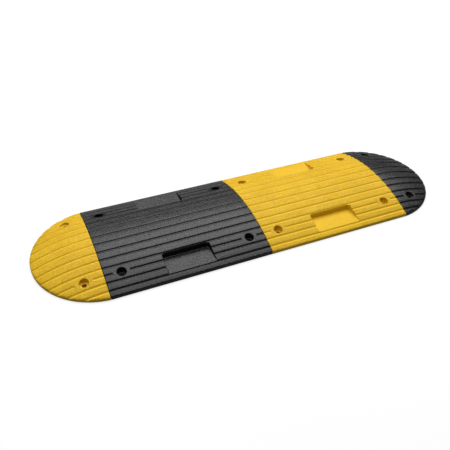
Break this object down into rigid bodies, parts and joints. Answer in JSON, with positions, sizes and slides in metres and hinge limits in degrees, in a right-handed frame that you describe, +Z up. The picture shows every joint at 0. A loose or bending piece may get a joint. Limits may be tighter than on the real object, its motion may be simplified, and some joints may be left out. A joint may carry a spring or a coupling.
{
  "type": "speed bump",
  "caption": "Low arched rubber speed bump with half-round ends, alternating yellow and black mouldings, tread grooves along it, bolt recesses and open reflector recesses.",
  "frame": {"origin": "on the road, under the middle of the row, where the two straight modules meet", "axes": "+X along the row towards the black end cap, +Y across the row towards its back edge, +Z up"},
  "size_m": [1.371, 0.4, 0.05],
  "materials": {
    "yellow_rubber": "moulded, satin, fine grain",
    "black_rubber": "moulded, satin, fine grain",
    "dowel_steel": "zinc plated",
    "washer_steel": "plain"
  },
  "bodies": {
    "root": {"yellow_end_cap": "yellow_rubber", "black_module": "black_rubber", "yellow_module": "yellow_rubber", "black_end_cap": "black_rubber", "dowel_left_seam_front": "dowel_steel", "dowel_left_seam_back": "dowel_steel", "dowel_middle_seam_front": "dowel_steel", "dowel_middle_seam_back": "dowel_steel", "dowel_right_seam_front": "dowel_steel", "dowel_right_seam_back": "dowel_steel", "washer_yellow_cap_front": "washer_steel", "washer_yellow_cap_back": "washer_steel", "washer_black_left_front": "washer_steel", "washer_black_left_back": "washer_steel", "washer_black_right_front": "washer_steel", "washer_black_right_back": "washer_steel", "washer_yellow_left_front": "washer_steel", "washer_yellow_left_back": "washer_steel", "washer_yellow_right_front": "washer_steel", "washer_yellow_right_back": "washer_steel", "washer_black_cap_front": "washer_steel", "washer_black_cap_back": "washer_steel"}
  },
  "joints": []
}
